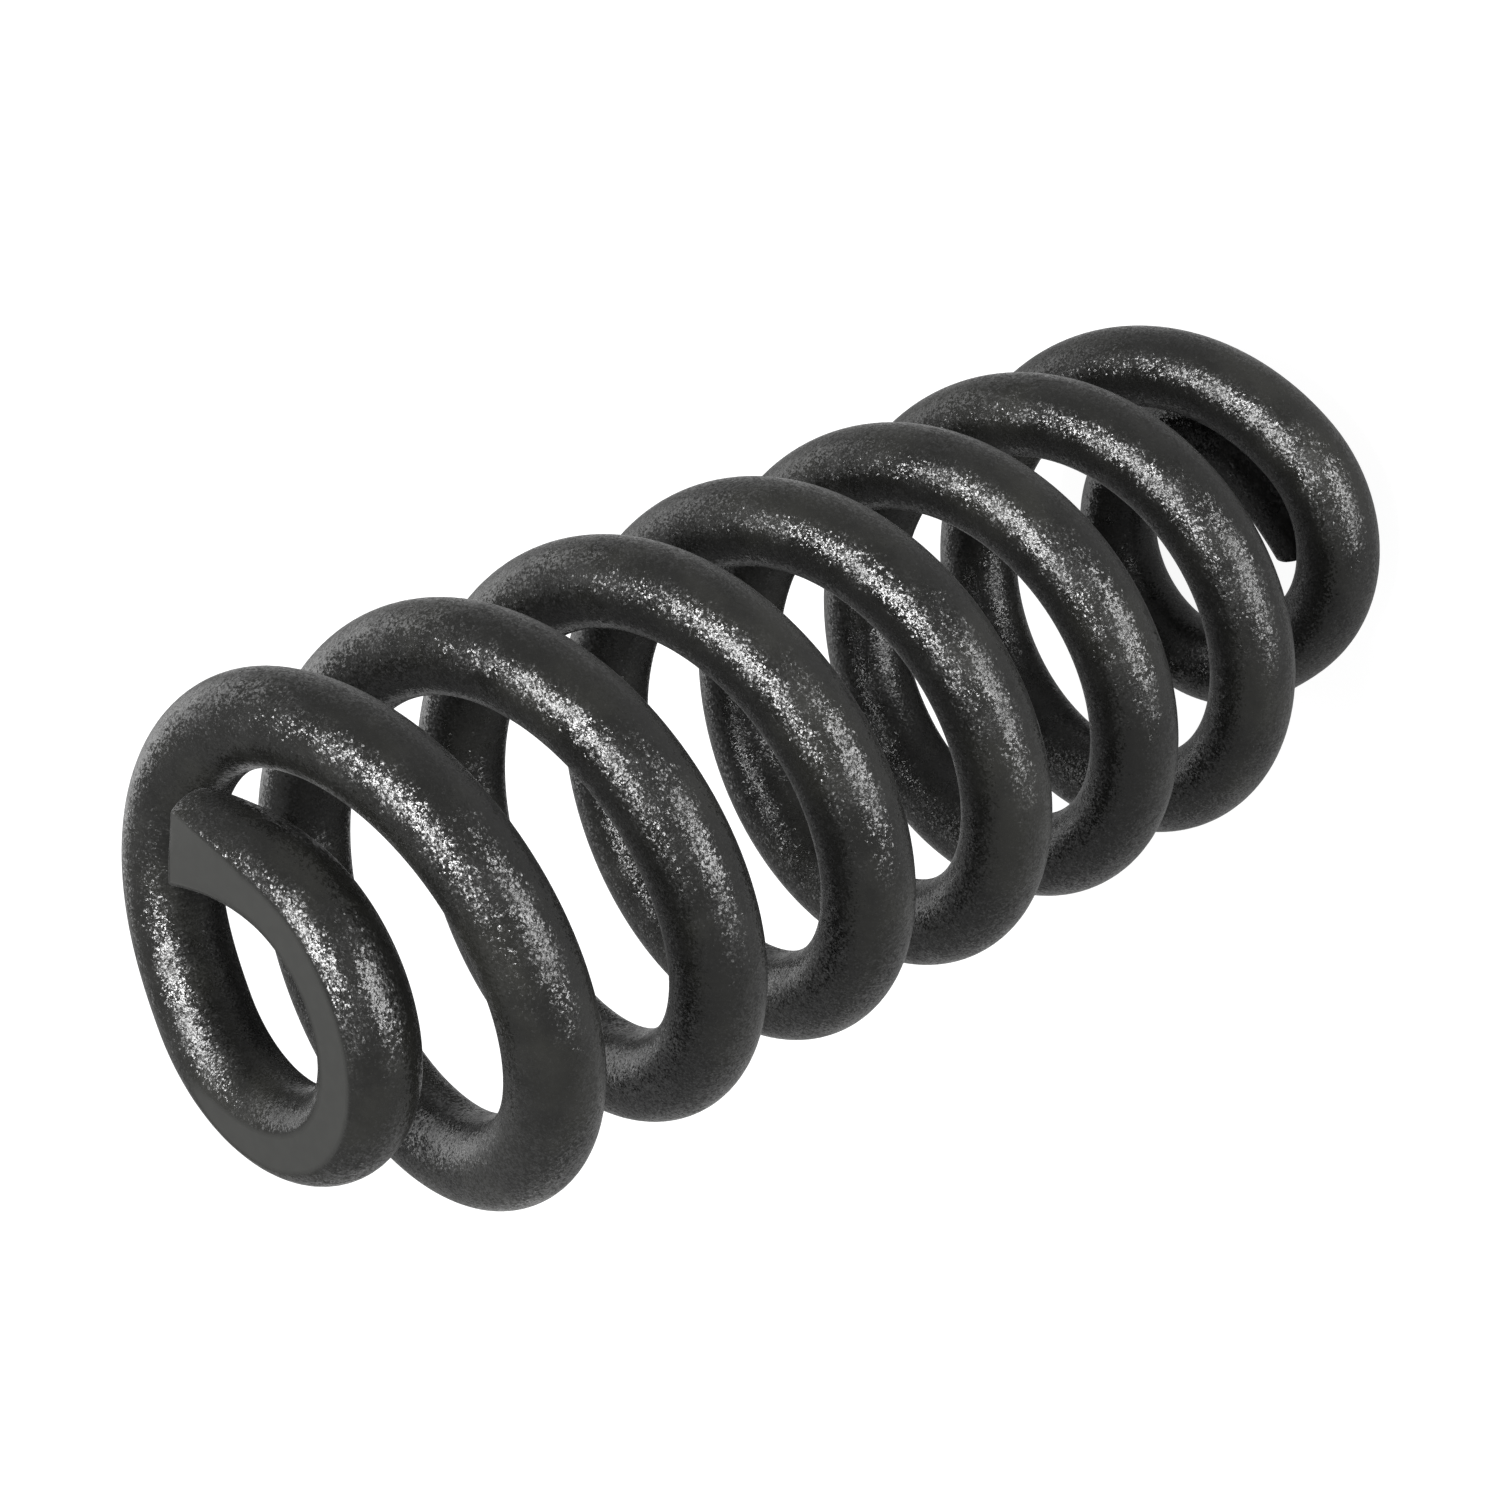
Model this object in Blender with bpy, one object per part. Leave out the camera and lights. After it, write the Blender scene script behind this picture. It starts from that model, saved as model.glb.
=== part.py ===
"""Compression coil spring with closed, ground ends, standing on its lower end.

One round wire is wound right-handed about +Z. Its two end turns are closed, wound on a smaller
radius than the body and ground flat square to the axis, and the turns between them are open. The
wire is held as one solid for each end and one for each active turn, so that the spring can
shorten turn by turn. Units are metres. The origin is the centre of the lower seating plane.
"""

import math

import bmesh
import bpy
import numpy as np
from mathutils import Matrix, Vector

# The free, unloaded spring.
WIRE_DIAMETER = 0.008
BODY_RADIUS = 0.0208
BODY_FLARE = 0.0002
PITCH = 0.01784
TOTAL_TURNS = 8.30

# Each end. Turns are counted along the wire from its tip.
LOWER_END = {
    "closed_radius": 0.0110,
    "closed_growth": 0.0027,
    "radius_opens": (0.83, 1.09),
    "pitch_opens": (0.38, 1.155),
    "seat_depth": 0.00357,
    "tip_length": 0.104,
    "tip_flare": 0.00075,
    "tip_dip": 0.00134,
    "tip_slant": math.radians(0),
}
UPPER_END = {
    "closed_radius": 0.01054,
    "closed_growth": 0.00375,
    "radius_opens": (0.752, 1.062),
    "pitch_opens": (0.50, 1.019),
    "seat_depth": 0.00356,
    "tip_length": 0.141,
    "tip_flare": 0.00315,
    "tip_dip": 0.00134,
    "tip_slant": math.radians(-17),
}

# How the wire is divided and faceted.
ACTIVE_TURNS = 6
TURN_GAP = 0.0004
SECTIONS_PER_TURN = 30
WIRE_SIDES = 16
PROFILE_STEPS = 4001

COATING_COLOUR = (0.022, 0.022, 0.020, 1.0)
COATING_ROUGHNESS = 0.42
COATING_METALLIC = 0.0


def clear_scene():
    for thing in list(bpy.data.objects):
        bpy.data.objects.remove(thing, do_unlink=True)


def ease(share):
    """0 below 0, 1 above 1, and a smooth step between them."""
    share = np.clip(share, 0.0, 1.0)
    return share * share * (3.0 - 2.0 * share)


def opened(from_tip, span):
    """0 in the closed turn and 1 in the body, easing over a span of turns from the tip."""
    start, end = span
    return ease((from_tip - start) / (end - start))


def tip_bend(from_tip, end):
    """1 at the wire's tip, easing to 0 where the straight tip meets the closed turn."""
    return np.clip(1.0 - from_tip / end["tip_length"], 0.0, 1.0) ** 2


class Wire:
    """The wire's centre line, as radius and height against the turns wound from the lower tip."""

    def __init__(self):
        turns = np.linspace(0.0, TOTAL_TURNS, PROFILE_STEPS)
        ends = ((LOWER_END, turns), (UPPER_END, TOTAL_TURNS - turns))
        self.turns = turns
        self.radius = self.wound_radius(turns, ends)
        rise = self.wound_rise(turns, ends)
        self.free_length = LOWER_END["seat_depth"] + rise[-1] + UPPER_END["seat_depth"]
        self.height = LOWER_END["seat_depth"] + rise
        self.height -= LOWER_END["tip_dip"] * tip_bend(ends[0][1], LOWER_END)
        self.height += UPPER_END["tip_dip"] * tip_bend(ends[1][1], UPPER_END)

    @staticmethod
    def wound_radius(turns, ends):
        from_middle = 2.0 * turns / TOTAL_TURNS - 1.0
        radius = BODY_RADIUS + BODY_FLARE * from_middle**2
        for end, from_tip in ends:
            closed = end["closed_radius"] + end["closed_growth"] * from_tip
            radius = closed + (radius - closed) * opened(from_tip, end["radius_opens"])
            radius = radius + end["tip_flare"] * tip_bend(from_tip, end)
        return radius

    @staticmethod
    def wound_rise(turns, ends):
        slope = np.full_like(turns, PITCH)
        for end, from_tip in ends:
            slope = slope * opened(from_tip, end["pitch_opens"])
        steps = np.diff(turns) * (slope[1:] + slope[:-1]) / 2.0
        return np.concatenate([[0.0], np.cumsum(steps)])

    def centre(self, turn):
        radius = np.interp(turn, self.turns, self.radius)
        height = np.interp(turn, self.turns, self.height)
        angle = math.tau * turn
        return Vector((radius * math.cos(angle), radius * math.sin(angle), height))

    def tangent(self, turn):
        step = 0.002
        before = max(turn - step, 0.0)
        after = min(turn + step, TOTAL_TURNS)
        return (self.centre(after) - self.centre(before)).normalized()


def wire_section(wire, turn, cut_normal):
    """Points round the wire where a plane with cut_normal crosses it at this turn."""
    tangent = wire.tangent(turn)
    centre = wire.centre(turn)
    outward = Vector((centre.x, centre.y, 0.0)).normalized()
    outward = (outward - tangent * outward.dot(tangent)).normalized()
    upward = outward.cross(tangent)
    # Corners stand slightly proud, so that the faceted wire has the round wire's area.
    facet = math.tau / WIRE_SIDES
    corner = WIRE_DIAMETER / 2.0 * math.sqrt(facet / math.sin(facet))
    points = []
    for side in range(WIRE_SIDES):
        around = facet * (side + 0.5)
        offset = corner * (math.cos(around) * outward + math.sin(around) * upward)
        slide = offset.dot(cut_normal) / tangent.dot(cut_normal)
        points.append(centre + offset - tangent * slide)
    return points


def around_axis(turn):
    """The level direction along the coil, which is square to the plane through its axis."""
    angle = math.tau * turn
    return Vector((-math.sin(angle), math.cos(angle), 0.0))


def slanted(direction, slant):
    return Matrix.Rotation(slant, 3, "Z") @ direction


def section_planes(wire, first, last):
    """Where the sections of one stretch of wire are, and the direction square to each."""
    count = max(2, round((last - first) * SECTIONS_PER_TURN))
    planes = [(turn, wire.tangent(turn)) for turn in np.linspace(first, last, count + 1)]
    if first > 0.0:
        planes[0] = (first, around_axis(first))
    else:
        planes[0] = (first, slanted(planes[0][1], LOWER_END["tip_slant"]))
    if last < TOTAL_TURNS:
        planes[-1] = (last, around_axis(last))
    else:
        planes[-1] = (last, slanted(planes[-1][1], UPPER_END["tip_slant"]))
    return planes


def wind(wire, first, last):
    """A closed length of wire from turn first to turn last, in a bmesh."""
    shape = bmesh.new()
    rings = []
    for turn, cut_normal in section_planes(wire, first, last):
        points = wire_section(wire, turn, cut_normal)
        rings.append([shape.verts.new(point) for point in points])
    for ring, following in zip(rings, rings[1:]):
        for side in range(WIRE_SIDES):
            beside = (side + 1) % WIRE_SIDES
            shape.faces.new((ring[side], ring[beside], following[beside], following[side]))
    shape.faces.new(rings[0])
    shape.faces.new(rings[-1])
    return shape


def grind(shape, height, outward):
    """Cuts the wire off flat at a height, and closes the flat that this leaves."""
    everything = shape.verts[:] + shape.edges[:] + shape.faces[:]
    bmesh.ops.bisect_plane(
        shape, geom=everything, plane_co=(0, 0, height), plane_no=outward, clear_outer=True
    )
    rim = [edge for edge in shape.edges if edge.is_boundary]
    bmesh.ops.edgeloop_fill(shape, edges=rim)


def make_turn(name, wire, first, last, coating):
    shape = wind(wire, first, last)
    if first == 0.0:
        grind(shape, 0.0, (0, 0, -1))
    if last == TOTAL_TURNS:
        grind(shape, wire.free_length, (0, 0, 1))
    bmesh.ops.recalc_face_normals(shape, faces=shape.faces)
    # The object's origin is on the spring's axis, level with the middle of its stretch of wire.
    origin = Vector((0.0, 0.0, wire.centre((first + last) / 2.0).z))
    bmesh.ops.translate(shape, vec=-origin, verts=shape.verts)
    mesh = bpy.data.meshes.new(name)
    shape.to_mesh(mesh)
    shape.free()
    mesh.materials.append(coating)
    mesh.shade_smooth()
    mesh.set_sharp_from_angle(angle=math.radians(40))
    turn = bpy.data.objects.new(name, mesh)
    turn.location = origin
    bpy.context.scene.collection.objects.link(turn)
    return turn


def black_coating():
    coating = bpy.data.materials.new("black_coating")
    coating.use_nodes = True
    shader = coating.node_tree.nodes["Principled BSDF"]
    shader.inputs["Base Color"].default_value = COATING_COLOUR
    shader.inputs["Roughness"].default_value = COATING_ROUGHNESS
    shader.inputs["Metallic"].default_value = COATING_METALLIC
    return coating


def make_spring():
    wire = Wire()
    coating = black_coating()
    end_turns = (TOTAL_TURNS - ACTIVE_TURNS) / 2.0
    half_gap = TURN_GAP / 2.0 / (math.tau * BODY_RADIUS)
    make_turn("lower_end_turn", wire, 0.0, end_turns - half_gap, coating)
    for number in range(ACTIVE_TURNS):
        first = end_turns + number + half_gap
        last = end_turns + number + 1 - half_gap
        make_turn(f"active_turn_{number + 1}", wire, first, last, coating)
    make_turn("upper_end_turn", wire, TOTAL_TURNS - end_turns + half_gap, TOTAL_TURNS, coating)


clear_scene()
make_spring()
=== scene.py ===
"""A black compression coil spring, wound from one round wire, with closed ends ground flat.

The wire stands in for the model's turns. It is made in short stretches, joined end to end. All
sizes are in metres, with +Z along the spring's axis.
"""

import math

import bmesh
import bpy
import numpy as np
from bpy.props import FloatProperty, FloatVectorProperty, PointerProperty
from mathutils import Matrix, Vector, noise


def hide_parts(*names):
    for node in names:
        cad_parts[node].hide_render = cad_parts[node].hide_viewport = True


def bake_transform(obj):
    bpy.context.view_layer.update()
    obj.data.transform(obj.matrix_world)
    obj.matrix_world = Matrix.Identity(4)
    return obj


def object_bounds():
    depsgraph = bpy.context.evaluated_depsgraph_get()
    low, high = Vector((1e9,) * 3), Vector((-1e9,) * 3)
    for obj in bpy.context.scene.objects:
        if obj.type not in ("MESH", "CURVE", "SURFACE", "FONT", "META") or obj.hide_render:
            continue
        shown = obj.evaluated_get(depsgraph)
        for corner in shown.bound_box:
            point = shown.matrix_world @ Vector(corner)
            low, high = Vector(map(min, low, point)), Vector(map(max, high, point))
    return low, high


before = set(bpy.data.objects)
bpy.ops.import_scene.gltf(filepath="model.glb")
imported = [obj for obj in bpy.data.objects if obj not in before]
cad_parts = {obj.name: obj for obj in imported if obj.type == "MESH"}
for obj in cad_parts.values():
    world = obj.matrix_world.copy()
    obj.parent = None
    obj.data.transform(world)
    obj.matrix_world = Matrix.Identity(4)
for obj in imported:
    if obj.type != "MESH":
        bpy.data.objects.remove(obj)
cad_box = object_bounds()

bl_info = {
    "name": "Coil Spring",
    "version": (1, 0, 0),
    "blender": (4, 5, 0),
    "location": "3D View > Sidebar > Coil Spring",
    "description": "Winds a coated coil spring with ground ends and lights it on a pale floor",
    "category": "Object",
}

SPRING_BASE, SPRING_TOP = cad_box
FREE_LENGTH = SPRING_TOP.z - SPRING_BASE.z
TURNS_OF_WIRE = sorted(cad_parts)


# ---------------------------------------------------------------- properties


def length(name, description, default):
    return FloatProperty(
        name=name, description=description, default=default, precision=5, unit="LENGTH"
    )


def turns(name, description, default):
    return FloatProperty(name=name, description=description, default=default, precision=3)


def angle(name, description, degrees):
    return FloatProperty(
        name=name, description=description, default=math.radians(degrees), unit="ROTATION"
    )


def share(name, description, default):
    return FloatProperty(
        name=name, description=description, default=default, min=0.0, max=1.0, subtype="FACTOR"
    )


def colour(name, description, default):
    return FloatVectorProperty(
        name=name, description=description, default=default, size=3, min=0.0, max=1.0,
        subtype="COLOR",
    )


def end_sizes(closed_radius, closed_growth, radius_opens, pitch_opens, seat_depth, tip):
    """The properties of one end of the wire. Both ends have them, each with its own defaults."""
    tip_length, tip_flare, tip_dip, tip_slant = tip
    return {
        "closed_radius": length("Closed radius", "Axis to wire, at the tip", closed_radius),
        "closed_growth": length("Closed growth", "Gain in radius for a turn", closed_growth),
        "radius_starts": turns("Radius starts", "Turns to where it widens", radius_opens[0]),
        "radius_ends": turns("Radius ends", "Turns to the full radius", radius_opens[1]),
        "pitch_starts": turns("Pitch starts", "Turns to where it opens", pitch_opens[0]),
        "pitch_ends": turns("Pitch ends", "Turns to the full pitch", pitch_opens[1]),
        "seat_depth": length("Seat depth", "Ground flat to wire centre", seat_depth),
        "tip_length": turns("Tip length", "Turns of the straighter tip", tip_length),
        "tip_flare": length("Tip flare", "How far the tip bends outward", tip_flare),
        "tip_dip": length("Tip dip", "How far the tip bends to the seat", tip_dip),
        "tip_slant": angle("Tip slant", "Slant of the sheared end face", tip_slant),
    }


class LowerEndSizes(bpy.types.PropertyGroup):
    """The end that the spring stands on."""

    __annotations__ = end_sizes(
        0.0110, 0.0027, (0.83, 1.09), (0.38, 1.155), 0.00357, (0.104, 0.00075, 0.00134, 0.0)
    )


class UpperEndSizes(bpy.types.PropertyGroup):
    """The end that takes the load."""

    __annotations__ = end_sizes(
        0.01054, 0.00375, (0.752, 1.062), (0.50, 1.019), 0.00356, (0.141, 0.00315, 0.00134, -17.0)
    )


class WindingSizes(bpy.types.PropertyGroup):
    """The wire, and the turns between the two ends."""

    wire_diameter: length("Wire diameter", "Thickness of the round wire", 0.008)
    body_radius: length("Body radius", "Axis to wire, half way along", 0.0208)
    body_flare: length("Body flare", "Gain in radius towards the ends", 0.0002)
    pitch: length("Pitch", "Rise of the wire in an open turn", 0.01784)
    total_turns: turns("Total turns", "Turns from tip to tip", 8.30)
    ground_edge: length("Ground edge", "Softness of the ground flat's edge", 0.00005)
    sheared_edge: length("Sheared edge", "Rounding of the tip's rim", 0.00022)
    sheared_relief: length("Sheared relief", "Depth of the broken end face", 0.00030)


class CoatingLook(bpy.types.PropertyGroup):
    """The black coating and its grain."""

    shade: colour("Shade", "The coating", (0.0050, 0.0050, 0.0045))
    worn_shade: colour("Worn shade", "Handled, slightly dusty coating", (0.011, 0.011, 0.0095))
    ground_shade: colour("Ground shade", "The coated ground flats", (0.0155, 0.0158, 0.0142))
    grain_size: length("Grain size", "Width of one grain of the texture", 0.00020)
    grain_tilt: FloatProperty(name="Grain tilt", description="Tilt of the grains", default=0.31)
    fine_tilt: FloatProperty(name="Fine tilt", description="Tilt of the fine grains", default=0.25)
    satin: share("Satin", "Roughness of the coating", 0.28)
    dust: share("Dust", "Fine dust, which greys the coating where it turns away", 0.05)
    ground_satin: share("Ground satin", "Roughness of the ground flats", 0.62)


class StudioLook(bpy.types.PropertyGroup):
    """The camera and lights."""

    camera_turn: angle("Camera turn", "Round the spring's axis", 109.97)
    camera_rise: angle("Camera rise", "Above the level of the floor", 38.95)
    camera_roll: angle("Camera roll", "About the line of sight", -115.28)
    camera_distance: length("Camera distance", "To the middle of the spring", 0.28227)
    across: length("Across", "Spring's middle, right of the view's", 0.00507)
    above: length("Above", "Spring's middle, above the view's", 0.00126)
    lens: FloatProperty(name="Lens", description="Focal length in millimetres", default=74.64)
    surround: FloatProperty(name="Surround", description="Light from all round", default=0.36)
    backdrop: FloatProperty(name="Backdrop", description="Brightness behind", default=1.0)
    floor_shade: share("Floor shade", "How much light the floor gives back", 0.20)
    floor_glow: FloatProperty(name="Floor glow", description="The floor as seen", default=0.92)
    floor_light: FloatProperty(name="Floor light", description="The floor's light", default=0.26)
    overhead: FloatProperty(name="Overhead", description="Radiance of the top light", default=58.0)
    side: FloatProperty(name="Side", description="Radiance of the low side light", default=24.0)
    far_side: FloatProperty(name="Far side", description="Radiance of the far light", default=1.6)


class SpringStudio(bpy.types.PropertyGroup):
    """Everything that a user may change."""

    winding: PointerProperty(type=WindingSizes)
    lower_end: PointerProperty(type=LowerEndSizes)
    upper_end: PointerProperty(type=UpperEndSizes)
    coating: PointerProperty(type=CoatingLook)
    studio: PointerProperty(type=StudioLook)


# ---------------------------------------------------------------- the wire's shape

# How finely the wire is divided along its length, and how far off its length may be.
PROFILE_STEPS = 4001
TANGENT_STEP = 0.002
SECTIONS_PER_TURN = 150
STRETCHES_PER_TURN = 16
LENGTH_TOLERANCE = 0.0001

# How a section's points are spread round it: the caps that the seats cut off, and the sides.
CAP_STEPS = 5
SIDE_STEPS = 17
CAP_HALF_ANGLE = math.radians(40)
NARROWEST_CAP = math.radians(7)
EDGE_HALF_ANGLE = math.radians(2.2)
CAP_WIDENS_OVER = 0.006
LEAST_FACING = 1e-3
LARGEST_EXPONENT = 400.0
GROUND_EDGES = 3.0

# The sheared end faces: their rings, and how much each size of lump raises them.
SLANT_OVER = 0.0035
EDGE_RINGS = 4
FACE_RINGS = 11
COARSE_LUMPS = 520.0
COARSE_LUMP_SHARE = 0.55
FINE_LUMPS = 2100.0
FINE_LUMP_SHARE = 0.30
SUNK_HALF_SHARE = 0.8
RIM_LUMP_SHARE = 0.35
LOWER_FACE_SEED = 3.0
UPPER_FACE_SEED = 11.0

# Only the ends of a stretch are creased.
JOIN_ANGLE = math.radians(80)


def ease(part):
    """0 below 0, 1 above 1, and a smooth step between them."""
    part = np.clip(part, 0.0, 1.0)
    return part * part * (3.0 - 2.0 * part)


def tip_bend(from_tip, end):
    """1 at the wire's tip, easing to 0 where the straighter tip meets the closed turn."""
    return np.clip(1.0 - from_tip / end.tip_length, 0.0, 1.0) ** 2


class WireLine:
    """The wire's centre line, as radius and height against turns from the lower tip."""

    def __init__(self, spring):
        winding = spring.winding
        self.total = winding.total_turns
        self.ends = (spring.lower_end, spring.upper_end)
        along = np.linspace(0.0, self.total, PROFILE_STEPS)
        self.along = along
        from_tips = (along, self.total - along)
        radius = winding.body_radius + winding.body_flare * (2.0 * along / self.total - 1.0) ** 2
        slope = np.full_like(along, winding.pitch)
        for end, from_tip in zip(self.ends, from_tips):
            closed = end.closed_radius + end.closed_growth * from_tip
            widening = (from_tip - end.radius_starts) / (end.radius_ends - end.radius_starts)
            radius = closed + (radius - closed) * ease(widening)
            radius = radius + end.tip_flare * tip_bend(from_tip, end)
            opening = (from_tip - end.pitch_starts) / (end.pitch_ends - end.pitch_starts)
            slope = slope * ease(opening)
        steps = np.diff(along) * (slope[1:] + slope[:-1]) / 2.0
        rise = np.concatenate([[0.0], np.cumsum(steps)])
        lower, upper = self.ends
        self.free_length = lower.seat_depth + rise[-1] + upper.seat_depth
        self.radius = radius
        self.height = (
            lower.seat_depth
            + rise
            - lower.tip_dip * tip_bend(from_tips[0], lower)
            + upper.tip_dip * tip_bend(from_tips[1], upper)
        )

    def centre(self, at):
        radius = np.interp(at, self.along, self.radius)
        height = np.interp(at, self.along, self.height)
        return np.stack(
            [radius * np.cos(math.tau * at), radius * np.sin(math.tau * at), height], axis=-1
        )

    def tangent(self, at):
        before = self.centre(np.maximum(at - TANGENT_STEP, 0.0))
        after = self.centre(np.minimum(at + TANGENT_STEP, self.total))
        return unit(after - before)


def unit(vectors):
    return vectors / np.linalg.norm(vectors, axis=-1, keepdims=True)


def cap_angle(gap, radius):
    """Half the angle that a seating plane cuts from the wire, or a narrow cap where it misses.

    gap is the distance from the wire's centre to the plane, in the plane of the section."""
    cut = np.arccos(np.clip(gap / radius, -1.0, 1.0))
    widening = ease((gap - radius) / CAP_WIDENS_OVER)
    uncut = NARROWEST_CAP + (CAP_HALF_ANGLE - NARROWEST_CAP) * widening
    return np.maximum(cut, uncut)


def ring_angles(top, bottom):
    """Angles round each section, from straight up, with lines on both edges of each ground flat."""

    def between(start, stop, steps):
        return start[:, None] + (stop - start)[:, None] * np.linspace(0.0, 1.0, steps + 1)

    top_edge = top[:, None]
    bottom_edge = math.pi - bottom[:, None]
    half = np.concatenate(
        [
            between(np.zeros_like(top), top - EDGE_HALF_ANGLE, CAP_STEPS),
            top_edge,
            between(top + EDGE_HALF_ANGLE, math.pi - bottom - EDGE_HALF_ANGLE, SIDE_STEPS),
            bottom_edge,
            between(math.pi - bottom + EDGE_HALF_ANGLE, np.full_like(top, math.pi), CAP_STEPS),
        ],
        axis=1,
    )
    return np.concatenate([half, math.tau - half[:, -2:0:-1]], axis=1)


def ground_away(round_radius, gap, cosine, softness):
    """How far a seating plane cuts into a section, with a softened edge."""
    facing = np.maximum(cosine, LEAST_FACING)
    excess = (round_radius - gap[:, None] / facing) / softness
    cut = softness * np.logaddexp(0.0, np.minimum(excess, LARGEST_EXPONENT))
    return np.where(cosine > LEAST_FACING, cut, 0.0)


def wire_rings(spring, line):
    """The sections of the wire: their points, centres, tangents and how much is ground away."""
    winding = spring.winding
    wire_radius = winding.wire_diameter / 2.0
    start = winding.sheared_edge / (math.tau * line.radius[0])
    stop = line.total - winding.sheared_edge / (math.tau * line.radius[-1])
    count = round(line.total * SECTIONS_PER_TURN)
    at = np.linspace(start, stop, count + 1)
    centre, tangent = line.centre(at), line.tangent(at)
    level = np.sqrt(1.0 - tangent[:, 2] ** 2)
    upward = unit(np.array([0.0, 0.0, 1.0]) - tangent * tangent[:, 2:3])
    outward = np.cross(tangent, upward)
    above = (line.free_length - centre[:, 2]) / level
    below = centre[:, 2] / level
    around = ring_angles(cap_angle(above, wire_radius), cap_angle(below, wire_radius))
    cosine, sine = np.cos(around), np.sin(around)
    cut = ground_away(wire_radius, above, cosine, winding.ground_edge)
    cut = cut + ground_away(wire_radius, below, -cosine, winding.ground_edge)
    radius = wire_radius - cut
    offset = radius[..., None] * (
        cosine[..., None] * upward[:, None, :] + sine[..., None] * outward[:, None, :]
    )
    points = centre[:, None, :] + offset
    for end, turns_from_tip, tip_tangent in (
        (line.ends[0], at - start, tangent[0]),
        (line.ends[1], stop - at, tangent[-1]),
    ):
        from_tip = turns_from_tip * math.tau * np.interp(at, line.along, line.radius)
        weight = 1.0 - ease(from_tip / SLANT_OVER)
        cut_normal = np.array(Matrix.Rotation(end.tip_slant, 3, "Z") @ Vector(tip_tangent))
        slide = (offset @ cut_normal) / (tip_tangent @ cut_normal)
        points = points - (slide * weight[:, None])[..., None] * tip_tangent
    step = np.linalg.norm(np.diff(centre, axis=0), axis=1)
    run = np.concatenate([[0.0], np.cumsum(step)])
    place = np.stack(
        [np.broadcast_to(run[:, None], around.shape), radius * cosine, radius * sine], axis=-1
    )
    return points, centre, tangent, place, cut


def sheared_face(points, centre, outward, place, spring, seed, run_sign):
    """Rings that close a tip: a rounded rim, then a broken face with a sunken upper half."""
    winding = spring.winding
    wire_radius = winding.wire_diameter / 2.0
    rim, relief = winding.sheared_edge, winding.sheared_relief
    spread = points - centre
    bends = np.linspace(0.0, math.pi / 2.0, EDGE_RINGS + 1)[1:]
    scales = [
        (1.0 - rim * (1.0 - math.cos(bend)) / wire_radius, rim * math.sin(bend), RIM_LUMP_SHARE)
        for bend in bends
    ]
    flat = scales[-1][0]
    scales += [(flat * (1.0 - ring / FACE_RINGS), rim, 1.0) for ring in range(1, FACE_RINGS)]
    rings, places = [], []
    for scale, forward, lumpy in scales:
        ring = centre + spread * scale + outward * forward
        lift = np.zeros(len(ring))
        for side, point in enumerate(ring):
            coarse = noise.noise(Vector(point) * COARSE_LUMPS + Vector((seed, 0, 0)))
            fine = noise.noise(Vector(point) * FINE_LUMPS + Vector((0, seed, 0)))
            sunk = max(0.0, place[side, 1] / wire_radius) * scale
            lumps = COARSE_LUMP_SHARE * coarse + FINE_LUMP_SHARE * fine
            lift[side] = relief * (lumps - SUNK_HALF_SHARE * sunk)
        rings.append(ring + outward * (lift * lumpy)[:, None])
        scaled = place * np.array([1.0, scale, scale])
        places.append(scaled + np.array([run_sign * forward, 0.0, 0.0]))
    middle = centre + outward * rim
    return rings, places, middle


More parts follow.
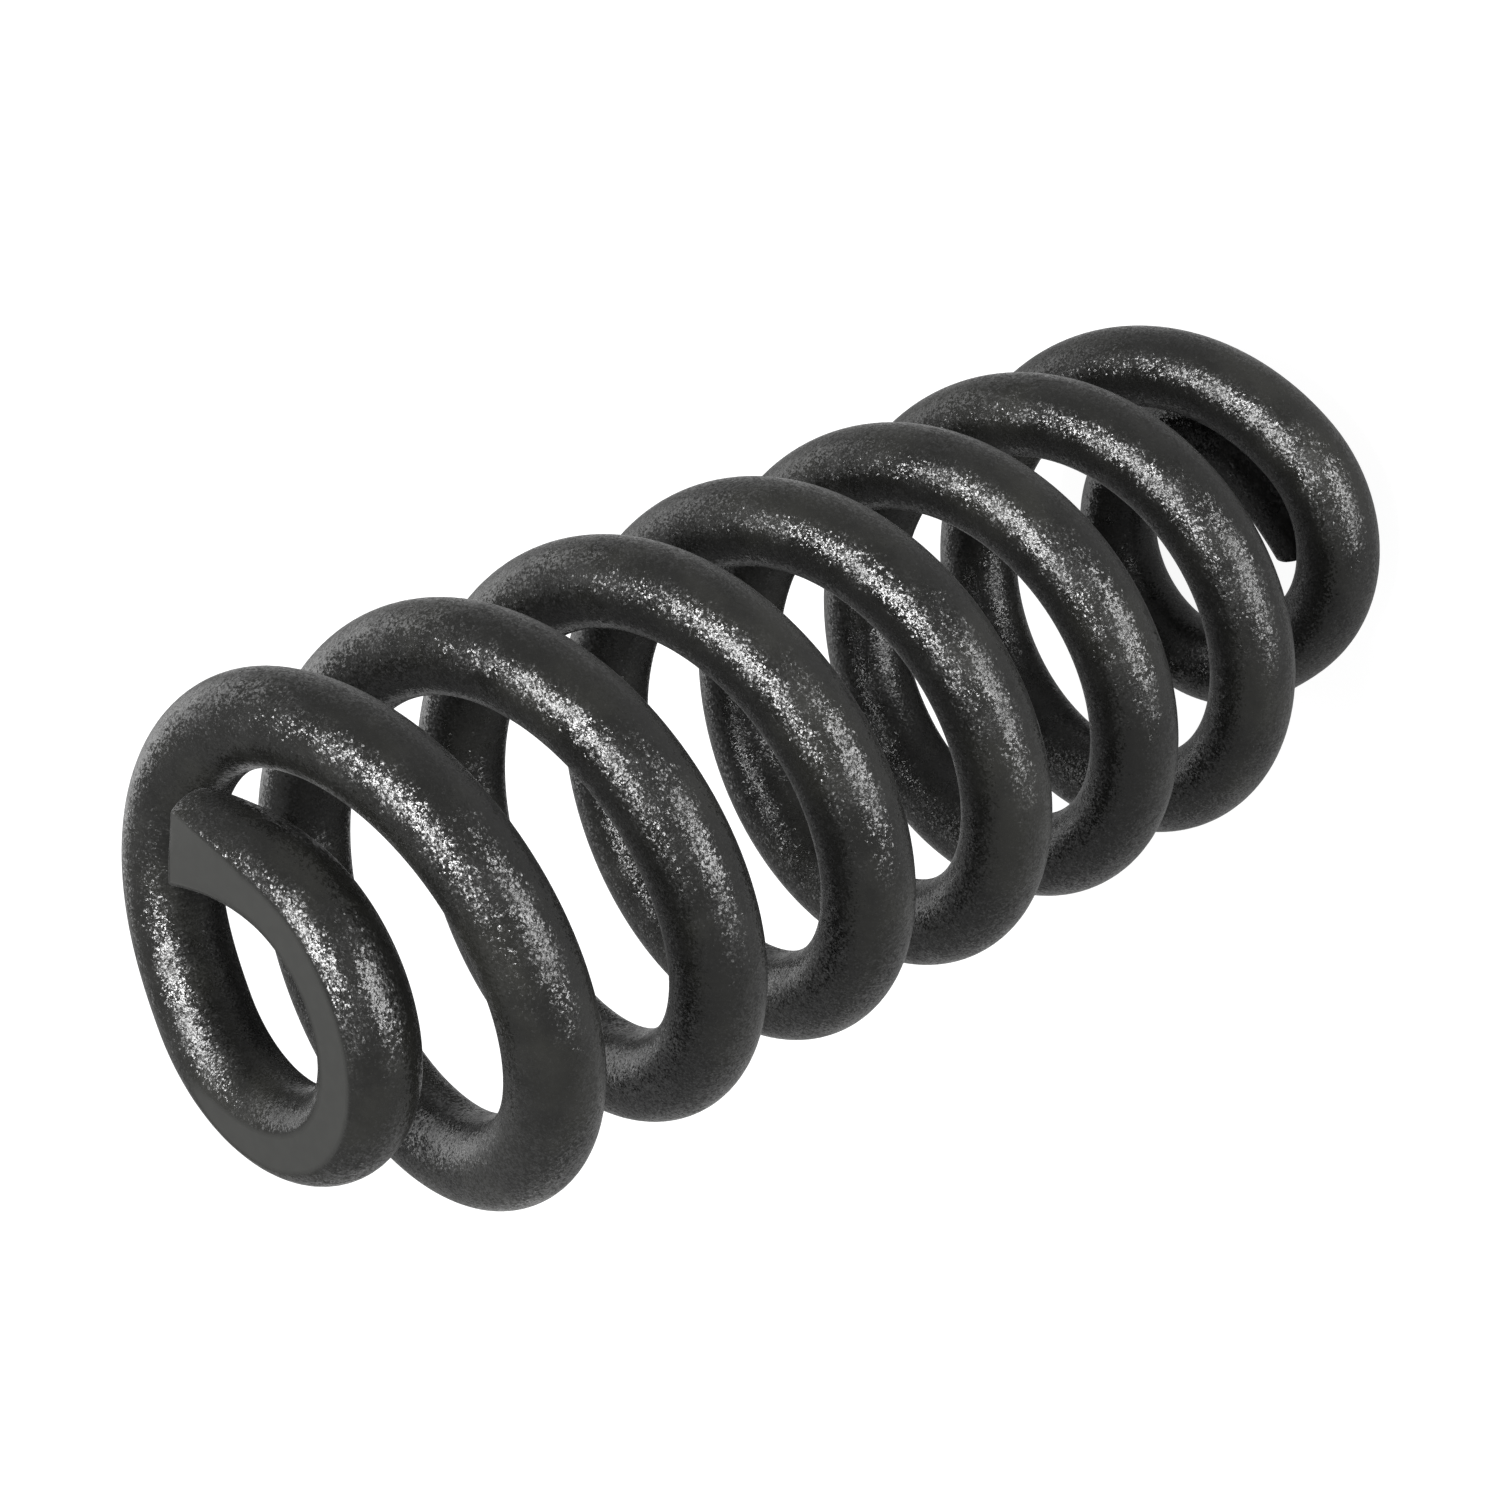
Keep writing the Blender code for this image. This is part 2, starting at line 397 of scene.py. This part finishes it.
class WireSkin:
    """The whole wire's surface as rings of points, with the place and finish of each point."""

    def __init__(self, spring):
        self.line = line = WireLine(spring)
        if abs(line.free_length - FREE_LENGTH) > LENGTH_TOLERANCE:
            raise ValueError(f"the wire is {line.free_length:.5f} m high, not {FREE_LENGTH:.5f} m")
        points, centre, tangent, place, cut = wire_rings(spring, line)
        start_rings, start_places, start_middle = sheared_face(
            points[0], centre[0], -tangent[0], place[0], spring, LOWER_FACE_SEED, -1.0
        )
        stop_rings, stop_places, stop_middle = sheared_face(
            points[-1], centre[-1], tangent[-1], place[-1], spring, UPPER_FACE_SEED, 1.0
        )
        before, after = len(start_rings), len(stop_rings)
        self.rings = np.array(start_rings[::-1] + list(points) + stop_rings)
        self.places = np.array(start_places[::-1] + list(place) + stop_places)
        ground = ease(cut / spring.winding.ground_edge / GROUND_EDGES)
        self.ground = np.pad(ground, ((before, after), (0, 0)))
        coated = np.zeros_like(ground)
        self.sheared = np.pad(coated, ((before, after), (0, 0)), constant_values=1.0)
        self.centre = np.concatenate(
            [np.tile(centre[0], (before, 1)), centre, np.tile(centre[-1], (after, 1))]
        )
        self.tip_rings = before
        self.middles = {0: start_middle, len(self.rings) - 1: stop_middle}
        # The seats are ground after the tips are sheared, so nothing stands past either seat.
        self.rings[..., 2] = np.clip(self.rings[..., 2], 0.0, line.free_length)

    def stretch_ends(self):
        """The rings where the wire is divided into short stretches. A tip's rings stay together."""
        count = math.ceil(self.line.total * STRETCHES_PER_TURN)
        last = len(self.rings) - 1
        ends = np.linspace(self.tip_rings, last - self.tip_rings, count + 1)
        return [0, *np.round(ends[1:-1]).astype(int), last]

    def stretch_mesh(self, name, first, last):
        """One closed stretch of the wire, between two of its rings."""
        sides = self.rings.shape[1]
        caps = (first, last)
        closing = [self.middles.get(ring, self.rings[ring].mean(axis=0)) for ring in caps]
        where = [self.places[ring].mean(axis=0) for ring in caps]
        inside = slice(first, last + 1)
        vertices = np.concatenate([self.rings[inside].reshape(-1, 3), closing])
        start_middle, stop_middle = len(vertices) - 2, len(vertices) - 1
        end_ring = (last - first) * sides
        faces = []
        for side in range(sides):
            beside = (side + 1) % sides
            for ring in range(0, end_ring, sides):
                following = ring + sides
                faces.append((ring + side, ring + beside, following + beside, following + side))
            faces.append((start_middle, beside, side))
            faces.append((stop_middle, end_ring + side, end_ring + beside))
        mesh = bpy.data.meshes.new(name)
        mesh.from_pydata(vertices.tolist(), [], faces)
        places = np.concatenate([self.places[inside].reshape(-1, 3), where])
        tips = [float(ring in self.middles) for ring in caps]
        mark(mesh, "wire_place", "FLOAT_VECTOR", "vector", places)
        mark(mesh, "ground", "FLOAT", "value", np.append(self.ground[inside], [0.0, 0.0]))
        mark(mesh, "sheared", "FLOAT", "value", np.append(self.sheared[inside], tips))
        check_closed(mesh)
        mesh.shade_smooth()
        mesh.set_sharp_from_angle(angle=JOIN_ANGLE)
        return mesh


def check_closed(mesh):
    """Raises an error unless the mesh is one closed skin whose faces point out."""
    shape = bmesh.new()
    shape.from_mesh(mesh)
    closed = all(edge.is_manifold for edge in shape.edges)
    volume = shape.calc_volume(signed=True)
    shape.free()
    if not closed or volume <= 0.0:
        raise ValueError("the wire's mesh is open or inside out")


def mark(mesh, name, kind, field, values):
    attribute = mesh.attributes.new(name, kind, "POINT")
    attribute.data.foreach_set(field, np.asarray(values, np.float32).ravel())


# ---------------------------------------------------------------- the coating

# How close together the marks are, in marks a metre, and how deep they are, in metres.
PATCHES = 130.0
MOTTLE = 900.0
UNEVENNESS = 300.0
SPECKLES_PER_GRAIN = 0.7
DRAW_LINES, DRAW_LINE_DEPTH = 1500.0, 0.000010
KNOCKS, KNOCK_DEPTH = 230.0, 0.000060
SWELLS, SWELL_DEPTH = 420.0, 0.000020

# A draw line is long: this is how much slower it changes along the wire than across it.
ALONG_A_LINE = 0.03
DARKEST_FLAT = 0.88
SPECKLE_STRENGTH = 0.35
LEAST_ROUGHER, MOST_ROUGHER = -0.05, 0.08
FINE_GRAIN = 0.5
SHEEN_ROUGHNESS = 0.30
COATING_IOR = 1.5
COATING_SPECULAR = 0.5


class Nodes:
    """A material, and the means to add and join its nodes."""

    def __init__(self, name):
        self.material = bpy.data.materials.new(name)
        self.material.use_nodes = True
        self.tree = self.material.node_tree
        self.shader = self.tree.nodes["Principled BSDF"]

    def add(self, kind, **settings):
        node = self.tree.nodes.new(kind)
        for key, value in settings.items():
            setattr(node, key, value)
        return node

    def join(self, source, target):
        self.tree.links.new(source, target)

    def attribute(self, name, output):
        return self.add("ShaderNodeAttribute", attribute_name=name).outputs[output]

    def noise(self, place, scale, detail, roughness=0.5):
        node = self.add("ShaderNodeTexNoise")
        node.inputs["Scale"].default_value = scale
        node.inputs["Detail"].default_value = detail
        node.inputs["Roughness"].default_value = roughness
        self.join(place, node.inputs["Vector"])
        return node.outputs["Fac"]

    def grains(self, place, size):
        """A vector for each grain of the given size, with each part between 0 and 1."""
        node = self.add("ShaderNodeTexVoronoi", feature="F1")
        node.inputs["Scale"].default_value = 1.0 / size
        self.join(place, node.inputs["Vector"])
        return node.outputs["Color"]

    def tilted(self, normal, grain, reach):
        """The normal, tilted by up to about reach, by the grain's own vector."""
        tilt = self.add("ShaderNodeVectorMath", operation="SUBTRACT")
        self.join(grain, tilt.inputs[0])
        tilt.inputs[1].default_value = (0.5, 0.5, 0.5)
        sized = self.add("ShaderNodeVectorMath", operation="SCALE")
        self.join(tilt.outputs["Vector"], sized.inputs[0])
        self.join(reach, sized.inputs["Scale"])
        added = self.add("ShaderNodeVectorMath", operation="ADD")
        self.join(normal, added.inputs[0])
        self.join(sized.outputs["Vector"], added.inputs[1])
        whole = self.add("ShaderNodeVectorMath", operation="NORMALIZE")
        self.join(added.outputs["Vector"], whole.inputs[0])
        return whole.outputs["Vector"]

    def stretched(self, place, factors):
        node = self.add("ShaderNodeVectorMath", operation="MULTIPLY")
        node.inputs[1].default_value = factors
        self.join(place, node.inputs[0])
        return node.outputs["Vector"]

    def between(self, value, low, high, out_low=0.0, out_high=1.0):
        node = self.add("ShaderNodeMapRange", interpolation_type="SMOOTHSTEP")
        for socket, number in zip(
            ("From Min", "From Max", "To Min", "To Max"), (low, high, out_low, out_high)
        ):
            node.inputs[socket].default_value = number
        self.join(value, node.inputs["Value"])
        return node.outputs["Result"]

    def mixed(self, factor, first, second):
        node = self.add("ShaderNodeMix", data_type="RGBA")
        self.join(factor, node.inputs["Factor"])
        for socket, value in ((6, first), (7, second)):
            if isinstance(value, bpy.types.NodeSocket):
                self.join(value, node.inputs[socket])
            else:
                node.inputs[socket].default_value = (*value, 1.0)
        return node.outputs[2]

    def maths(self, operation, first, second):
        node = self.add("ShaderNodeMath", operation=operation)
        for socket, value in ((0, first), (1, second)):
            if isinstance(value, bpy.types.NodeSocket):
                self.join(value, node.inputs[socket])
            else:
                node.inputs[socket].default_value = value
        return node.outputs[0]

    def bump(self, height, relief, below=None):
        node = self.add("ShaderNodeBump")
        node.inputs["Strength"].default_value = 1.0
        node.inputs["Distance"].default_value = relief
        self.join(height, node.inputs["Height"])
        if below is not None:
            self.join(below, node.inputs["Normal"])
        return node.outputs["Normal"]


def black_coating(look):
    """Satin black coating: fine grain, faint draw lines along the wire, matte ground flats."""
    n = Nodes("black_coating")
    place = n.attribute("wire_place", "Vector")
    ground = n.attribute("ground", "Fac")
    sheared = n.attribute("sheared", "Fac")

    # Colour: black, greyer where it is handled, and grey on the ground flats.
    patches = n.between(n.noise(place, PATCHES, 4.0, 0.6), 0.42, 0.68)
    speckles = n.noise(place, SPECKLES_PER_GRAIN / look.grain_size, 2.0)
    speckle = n.between(speckles, 0.55, 0.75, 0.0, SPECKLE_STRENGTH)
    worn = n.maths("MAXIMUM", patches, speckle)
    coated = n.mixed(worn, look.shade, look.worn_shade)
    mottle = n.between(n.noise(place, MOTTLE, 3.0), 0.35, 0.65)
    ground_dark = tuple(DARKEST_FLAT * part for part in look.ground_shade)
    flat = n.mixed(mottle, ground_dark, look.ground_shade)
    n.join(n.mixed(ground, coated, flat), n.shader.inputs["Base Color"])

    # Roughness: satin, a little uneven, and matte on the ground flats and sheared faces.
    smoothest, roughest = look.satin + LEAST_ROUGHER, look.satin + MOST_ROUGHER
    uneven = n.between(n.noise(place, UNEVENNESS, 3.0), 0.3, 0.7, smoothest, roughest)
    matte = n.maths("MAXIMUM", ground, sheared)
    step = n.maths("MULTIPLY", n.maths("SUBTRACT", look.ground_satin, uneven), matte)
    n.join(n.maths("ADD", uneven, step), n.shader.inputs["Roughness"])

    # Relief: draw lines that run along the wire, small knocks, slow swells and two sizes of grain.
    coated_share = n.maths("SUBTRACT", 1.0, ground)
    lines = n.noise(n.stretched(place, (ALONG_A_LINE, 1.0, 1.0)), DRAW_LINES, 3.0)
    drawn = n.bump(n.maths("MULTIPLY", lines, coated_share), DRAW_LINE_DEPTH)
    knocks = n.between(n.noise(place, KNOCKS, 1.0), 0.68, 0.76, 1.0, 0.0)
    dented = n.bump(n.maths("MULTIPLY", knocks, coated_share), KNOCK_DEPTH, drawn)
    swells = n.bump(n.noise(place, SWELLS, 2.0), SWELL_DEPTH, dented)
    coarse_reach = n.maths("MULTIPLY", coated_share, look.grain_tilt)
    fine_reach = n.maths("MULTIPLY", coated_share, look.fine_tilt)
    coarse = n.tilted(swells, n.grains(place, look.grain_size), coarse_reach)
    fine = n.tilted(coarse, n.grains(place, FINE_GRAIN * look.grain_size), fine_reach)
    n.join(fine, n.shader.inputs["Normal"])

    n.shader.inputs["Sheen Weight"].default_value = look.dust
    n.shader.inputs["Sheen Roughness"].default_value = SHEEN_ROUGHNESS
    n.shader.inputs["IOR"].default_value = COATING_IOR
    n.shader.inputs["Specular IOR Level"].default_value = COATING_SPECULAR
    n.shader.inputs["Metallic"].default_value = 0.0
    return n.material


class COILSPRING_OT_wind_wire(bpy.types.Operator):
    """Wind the coated wire over the model's turns, in short stretches joined end to end"""

    bl_idname = "coilspring.wind_wire"
    bl_label = "Wind Wire"

    def execute(self, context):
        spring = context.scene.coil_spring
        skin = WireSkin(spring)
        coating = black_coating(spring.coating)
        ends = skin.stretch_ends()
        for number, (first, last) in enumerate(zip(ends, ends[1:]), start=1):
            name = f"coil_wire_{number:03d}"
            mesh = skin.stretch_mesh(name, first, last)
            mesh.materials.append(coating)
            wire = bpy.data.objects.new(name, mesh)
            context.scene.collection.objects.link(wire)
            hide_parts(*TURNS_OF_WIRE)
            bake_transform(wire)
        return {"FINISHED"}


# ---------------------------------------------------------------- the studio

# Where each light is: its turn round the axis and rise above level in degrees, then its distance
# from the spring's middle, its width and its height in metres.
OVERHEAD_LIGHT = {"turn": 150, "rise": 70, "reach": 0.8, "width": 0.37, "height": 0.19}
SIDE_LIGHT = {"turn": 90, "rise": -1, "reach": 0.45, "width": 0.26, "height": 0.11}
FAR_SIDE_LIGHT = {"turn": 250, "rise": 5, "reach": 0.60, "width": 0.60, "height": 0.50}

WHITE = (1.0, 1.0, 1.0, 1.0)
FLOOR_ROUGHNESS = 0.9
FLOOR_REACH = 30.0 * FREE_LENGTH
SENSOR_WIDTH = 36.0
NEAREST_SEEN, FARTHEST_SEEN = 0.01, 100.0


def floor_finish(look):
    """A pale sheet to look at, which lights the spring from below only dimly."""
    n = Nodes("pale_floor")
    seen, lit = n.shader, n.add("ShaderNodeBsdfPrincipled")
    for shader, shade, glow in (
        (seen, look.floor_shade, look.floor_glow),
        (lit, look.floor_shade / 2.0, look.floor_light),
    ):
        shader.inputs["Base Color"].default_value = (shade, shade, shade, 1.0)
        shader.inputs["Roughness"].default_value = FLOOR_ROUGHNESS
        shader.inputs["Emission Color"].default_value = WHITE
        shader.inputs["Emission Strength"].default_value = glow
    either = n.add("ShaderNodeMixShader")
    n.join(n.add("ShaderNodeLightPath").outputs["Is Camera Ray"], either.inputs["Fac"])
    n.join(lit.outputs["BSDF"], either.inputs[1])
    n.join(seen.outputs["BSDF"], either.inputs[2])
    n.join(either.outputs["Shader"], n.tree.nodes["Material Output"].inputs["Surface"])
    return n.material


def pale_floor(context, look):
    """A wide pale sheet under the spring."""
    corners = [(-1, -1), (1, -1), (1, 1), (-1, 1)]
    points = [(FLOOR_REACH * x, FLOOR_REACH * y, SPRING_BASE.z) for x, y in corners]
    mesh = bpy.data.meshes.new("studio_floor")
    mesh.from_pydata(points, [], [(0, 1, 2, 3)])
    mesh.materials.append(floor_finish(look))
    floor = bpy.data.objects.new("studio_floor", mesh)
    context.scene.collection.objects.link(floor)


def directed(turn, rise):
    """The level direction at a turn round the axis, tilted up by a rise. Both are in radians."""
    level = math.cos(rise)
    return Vector((math.sin(turn) * level, -math.cos(turn) * level, math.sin(rise)))


def softbox(context, name, radiance, turn, rise, reach, width, height):
    """A soft rectangular light of a given radiance, which faces the middle of the spring."""
    light = bpy.data.lights.new(name, "AREA")
    light.shape = "RECTANGLE"
    light.size, light.size_y = width, height
    light.energy = radiance * math.pi * width * height
    lamp = bpy.data.objects.new(name, light)
    middle = Vector((0.0, 0.0, FREE_LENGTH / 2.0))
    toward = directed(math.radians(turn), math.radians(rise))
    lamp.location = middle + toward * reach
    lamp.rotation_euler = toward.to_track_quat("Z", "Y").to_euler()
    lamp.visible_camera = False
    context.scene.collection.objects.link(lamp)


def pale_surround(context, look):
    """A pale backdrop to look at, which lights the spring only dimly."""
    world = bpy.data.worlds.new("studio")
    context.scene.world = world
    world.use_nodes = True
    tree = world.node_tree
    lit = tree.nodes["Background"]
    lit.inputs["Color"].default_value = WHITE
    lit.inputs["Strength"].default_value = look.surround
    seen = tree.nodes.new("ShaderNodeBackground")
    seen.inputs["Color"].default_value = WHITE
    seen.inputs["Strength"].default_value = look.backdrop
    path = tree.nodes.new("ShaderNodeLightPath")
    either = tree.nodes.new("ShaderNodeMixShader")
    tree.links.new(path.outputs["Is Camera Ray"], either.inputs["Fac"])
    tree.links.new(lit.outputs["Background"], either.inputs[1])
    tree.links.new(seen.outputs["Background"], either.inputs[2])
    tree.links.new(either.outputs["Shader"], tree.nodes["World Output"].inputs["Surface"])


def camera(context, look):
    """A camera at its turn, rise and roll, aimed so that the spring's middle is off centre."""
    data = bpy.data.cameras.new("camera")
    data.sensor_width = SENSOR_WIDTH
    data.lens = look.lens
    data.clip_start, data.clip_end = NEAREST_SEEN, FARTHEST_SEEN
    viewer = bpy.data.objects.new("camera", data)
    context.scene.collection.objects.link(viewer)
    back = directed(look.camera_turn, look.camera_rise)
    level = (-back).cross(Vector((0, 0, 1))).normalized()
    upright = level.cross(-back)
    right = level * math.cos(look.camera_roll) + upright * math.sin(look.camera_roll)
    up = upright * math.cos(look.camera_roll) - level * math.sin(look.camera_roll)
    aim = Vector((0, 0, FREE_LENGTH / 2.0)) - right * look.across - up * look.above
    pose = Matrix((right, up, back)).transposed().to_4x4()
    pose.translation = aim + back * look.camera_distance
    viewer.matrix_world = pose
    context.scene.camera = viewer


class COILSPRING_OT_set_stage(bpy.types.Operator):
    """Set the pale floor, the soft lights and the camera"""

    bl_idname = "coilspring.set_stage"
    bl_label = "Set Stage"

    def execute(self, context):
        look = context.scene.coil_spring.studio
        pale_surround(context, look)
        context.scene.view_settings.view_transform = "Standard"
        pale_floor(context, look)
        softbox(context, "overhead_light", look.overhead, **OVERHEAD_LIGHT)
        softbox(context, "side_light", look.side, **SIDE_LIGHT)
        softbox(context, "far_side_light", look.far_side, **FAR_SIDE_LIGHT)
        camera(context, look)
        return {"FINISHED"}


class COILSPRING_PT_panel(bpy.types.Panel):
    """The spring's sizes and the steps that make it"""

    bl_label = "Coil Spring"
    bl_idname = "COILSPRING_PT_panel"
    bl_space_type = "VIEW_3D"
    bl_region_type = "UI"
    bl_category = "Coil Spring"

    def draw(self, context):
        spring = context.scene.coil_spring
        for title, group in (
            ("Winding", spring.winding),
            ("Lower end", spring.lower_end),
            ("Upper end", spring.upper_end),
            ("Coating", spring.coating),
            ("Studio", spring.studio),
        ):
            box = self.layout.box()
            box.label(text=title)
            for name in group.bl_rna.properties.keys():
                if name not in {"name", "rna_type"}:
                    box.prop(group, name)
        self.layout.operator(COILSPRING_OT_wind_wire.bl_idname)
        self.layout.operator(COILSPRING_OT_set_stage.bl_idname)


CLASSES = (
    LowerEndSizes,
    UpperEndSizes,
    WindingSizes,
    CoatingLook,
    StudioLook,
    SpringStudio,
    COILSPRING_OT_wind_wire,
    COILSPRING_OT_set_stage,
    COILSPRING_PT_panel,
)


def register():
    for kind in CLASSES:
        bpy.utils.register_class(kind)
    bpy.types.Scene.coil_spring = PointerProperty(type=SpringStudio)


def unregister():
    del bpy.types.Scene.coil_spring
    for kind in reversed(CLASSES):
        bpy.utils.unregister_class(kind)


def main():
    register()
    bpy.ops.coilspring.wind_wire()
    bpy.ops.coilspring.set_stage()


if __name__ == "__main__":
    main()
